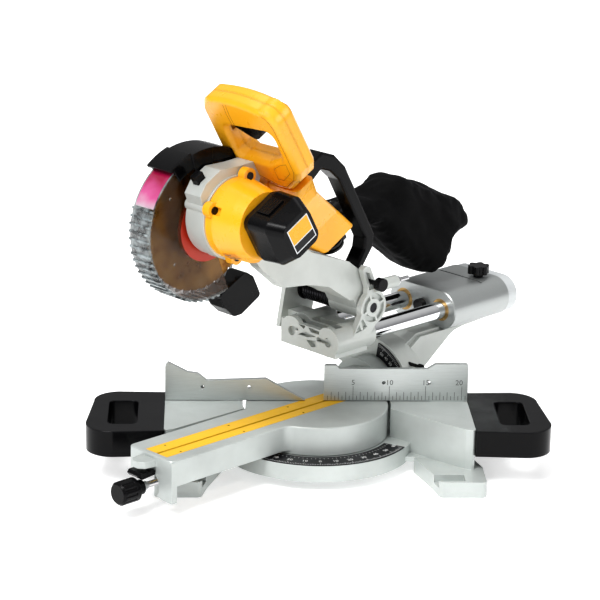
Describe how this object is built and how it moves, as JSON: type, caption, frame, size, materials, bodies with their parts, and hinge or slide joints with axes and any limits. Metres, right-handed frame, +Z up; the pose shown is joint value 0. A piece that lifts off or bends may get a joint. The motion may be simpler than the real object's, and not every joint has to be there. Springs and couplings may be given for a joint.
{
  "type": "sliding mitre saw",
  "caption": "Cordless sliding mitre saw with turntable, two slide rails, tilting head, toothed blade, swinging clear guard, D-handle, battery pack and dust bag.",
  "frame": {"origin": "on the bench surface, on the mitre turning axis, midway between the four bench bolt holes", "axes": "+X right along the fence as the operator faces it, +Y to the rear, +Z up"},
  "size_m": [0.6254, 0.5592, 0.5578],
  "materials": {
    "grey_casting": "satin cast",
    "machined_aluminium": "machined",
    "black_plastic": "moulded",
    "yellow_plastic": "glossy moulded",
    "kerf_plastic": "worn",
    "scale_black": "printed",
    "screw_steel": "blackened",
    "bright_steel": "ground",
    "chrome_rail": "polished",
    "bronze": "plain",
    "rubber_black": "moulded",
    "blade_steel": "coated",
    "smoke_plastic": "clear smoky",
    "clear_plastic": "clear",
    "hub_plastic": "moulded",
    "bag_fabric": "woven",
    "motor_iron": "plain"
  },
  "bodies": {
    "base": {"base_casting": "grey_casting", "mitre_scale_plate": "scale_black", "side_handles": "black_plastic", "fence_right": "machined_aluminium", "fence_slide_base": "grey_casting", "fence_screws": "screw_steel", "mitre_pivot_bolt": "bright_steel"},
    "sliding_fence": {"fence_left": "machined_aluminium"},
    "turntable": {"turntable_casting": "grey_casting", "kerf_plates": "kerf_plastic", "kerf_screws": "screw_steel", "bevel_shaft": "bright_steel"},
    "mitre_lock": {"mitre_lock_knob": "black_plastic", "mitre_lock_screw": "bright_steel"},
    "detent": {"detent_lever": "black_plastic"},
    "bevel_head": {"bevel_arm": "grey_casting", "bevel_scale": "scale_black", "rail_housing": "machined_aluminium", "rail_bushes": "bronze", "slide_bumper": "rubber_black"},
    "bevel_lock": {"bevel_lock_lever": "black_plastic"},
    "bevel_stop": {"bevel_stop_pin": "black_plastic"},
    "rail_lock": {"rail_lock_knob": "black_plastic"},
    "carriage": {"slide_rails": "chrome_rail", "rail_end_cap": "machined_aluminium", "carriage_bracket": "grey_casting", "head_pivot_pin": "bright_steel", "torsion_spring": "screw_steel", "spring_bush": "black_plastic"},
    "depth_stop": {"depth_stop_screw": "screw_steel"},
    "head_lock": {"head_lock_pin": "black_plastic"},
    "saw_head": {"head_arm": "grey_casting", "gearcase": "grey_casting", "motor_housing": "yellow_plastic", "motor_screws": "screw_steel", "motor_stator": "motor_iron", "motor_bearings": "bright_steel", "upper_guard": "black_plastic", "handle_shell_front": "yellow_plastic", "handle_shell_rear": "yellow_plastic", "rear_shroud": "yellow_plastic", "dust_duct": "rubber_black", "carry_handle": "black_plastic"},
    "blade_shaft": {"saw_blade": "blade_steel", "blade_flanges": "bright_steel", "arbor": "bright_steel", "arbor_bolt": "screw_steel", "drive_gear": "bright_steel"},
    "rotor": {"motor_rotor": "motor_iron"},
    "swinging_guard": {"lower_guard": "smoke_plastic", "guard_window": "clear_plastic", "guard_hub": "hub_plastic", "guard_shoe": "black_plastic"},
    "trigger_lever": {"trigger": "black_plastic"},
    "lock_off": {"lock_off_button": "black_plastic"},
    "spindle_button": {"spindle_lock": "black_plastic"},
    "battery": {"battery_pack": "black_plastic"},
    "battery_button": {"battery_latch": "black_plastic"},
    "bag": {"dust_bag": "bag_fabric", "bag_collar": "black_plastic"}
  },
  "joints": [
    {"name": "left_fence_slide", "type": "slide", "parent": "base", "child": "sliding_fence", "axis": [-1, 0, 0], "range_m": [0, 0.036]},
    {"name": "mitre_turn", "type": "hinge", "parent": "base", "child": "turntable", "pos_m": [0, 0, 0.078], "axis": [0, 0, 1], "range_deg": [0, 78]},
    {"name": "mitre_lock_turn", "type": "hinge", "parent": "turntable", "child": "mitre_lock", "pos_m": [-0.2552, -0.22171, 0.036], "axis": [-0.7431, -0.6691, 0], "range_deg": [0, 180]},
    {"name": "detent_squeeze", "type": "hinge", "parent": "turntable", "child": "detent", "pos_m": [-0.22945, -0.1965, 0.0555], "axis": [-0.6691, 0.7431, 0], "range_deg": [0, 8], "stiffness_Nm_per_rad": 0.8, "springref_deg": -11.46},
    {"name": "bevel_tilt", "type": "hinge", "parent": "turntable", "child": "bevel_head", "pos_m": [0.09289, 0.08364, 0.078], "axis": [-0.7431, -0.6691, 0], "range_deg": [0, 48]},
    {"name": "bevel_lock_turn", "type": "hinge", "parent": "bevel_head", "child": "bevel_lock", "pos_m": [0.12188, 0.10974, 0.078], "axis": [0.7431, 0.6691, 0], "range_deg": [-30, 30]},
    {"name": "bevel_stop_pull", "type": "slide", "parent": "bevel_head", "child": "bevel_stop", "axis": [0.6691, -0.7431, 0], "range_m": [0, 0.004]},
    {"name": "rail_lock_turn", "type": "hinge", "parent": "bevel_head", "child": "rail_lock", "pos_m": [0.23766, 0.18439, 0.218], "axis": [0, 0, 1], "range_deg": [0, 180]},
    {"name": "rail_slide", "type": "slide", "parent": "bevel_head", "child": "carriage", "axis": [0.7431, 0.6691, 0], "range_m": [0, 0.138]},
    {"name": "depth_stop_turn", "type": "hinge", "parent": "carriage", "child": "depth_stop", "pos_m": [0.0997, 0.0163, 0.248], "axis": [0.7431, 0.6691, 0], "range_deg": [-180, 180]},
    {"name": "head_lock_push", "type": "slide", "parent": "carriage", "child": "head_lock", "axis": [-0.6691, 0.7431, 0], "range_m": [0, 0.0045]},
    {"name": "head_swing", "type": "hinge", "parent": "carriage", "child": "saw_head", "pos_m": [0.03708, 0.03339, 0.2181], "axis": [0.6691, -0.7431, 0], "range_deg": [0, 39.5], "stiffness_Nm_per_rad": 14, "springref_deg": -57.3},
    {"name": "blade_spin", "type": "hinge", "parent": "saw_head", "child": "blade_shaft", "pos_m": [-0.16424, -0.14788, 0.374], "axis": [0.6691, -0.7431, 0], "continuous": true},
    {"name": "rotor_spin", "type": "hinge", "parent": "saw_head", "child": "rotor", "pos_m": [-0.10225, -0.19971, 0.39189], "axis": [0.6691, -0.7431, 0], "continuous": true},
    {"name": "guard_swing", "type": "hinge", "parent": "saw_head", "child": "swinging_guard", "pos_m": [-0.16424, -0.14788, 0.374], "axis": [0.6691, -0.7431, 0], "range_deg": [-151, 0]},
    {"name": "trigger_squeeze", "type": "hinge", "parent": "saw_head", "child": "trigger_lever", "pos_m": [-0.12361, -0.15167, 0.51929], "axis": [-0.6436, -0.5795, -0.5], "range_deg": [0, 7], "stiffness_Nm_per_rad": 0.6, "springref_deg": -17.19},
    {"name": "lock_off_press", "type": "slide", "parent": "saw_head", "child": "lock_off", "axis": [-0.6436, -0.5795, -0.5], "range_m": [0, 0.003], "stiffness_N_per_m": 400, "springref_m": -0.004},
    {"name": "spindle_lock_press", "type": "slide", "parent": "saw_head", "child": "spindle_button", "axis": [0.3716, 0.3346, -0.866], "range_m": [0, 0.0035], "stiffness_N_per_m": 400, "springref_m": -0.004},
    {"name": "battery_pull", "type": "slide", "parent": "saw_head", "child": "battery", "axis": [0.6691, -0.7431, 0], "range_m": [0, 0.065]},
    {"name": "battery_latch_press", "type": "slide", "parent": "battery", "child": "battery_button", "axis": [0.3716, 0.3346, -0.866], "range_m": [0, 0.002], "stiffness_N_per_m": 400, "springref_m": -0.004},
    {"name": "bag_pull", "type": "slide", "parent": "saw_head", "child": "bag", "axis": [0.6436, 0.5795, 0.5], "range_m": [0, 0.03]}
  ],
  "couplings": [
    {"joint": "rotor_spin", "follows": "blade_spin", "ratio": -4.3},
    {"joint": "guard_swing", "follows": "head_swing", "ratio": -3.8}
  ]
}
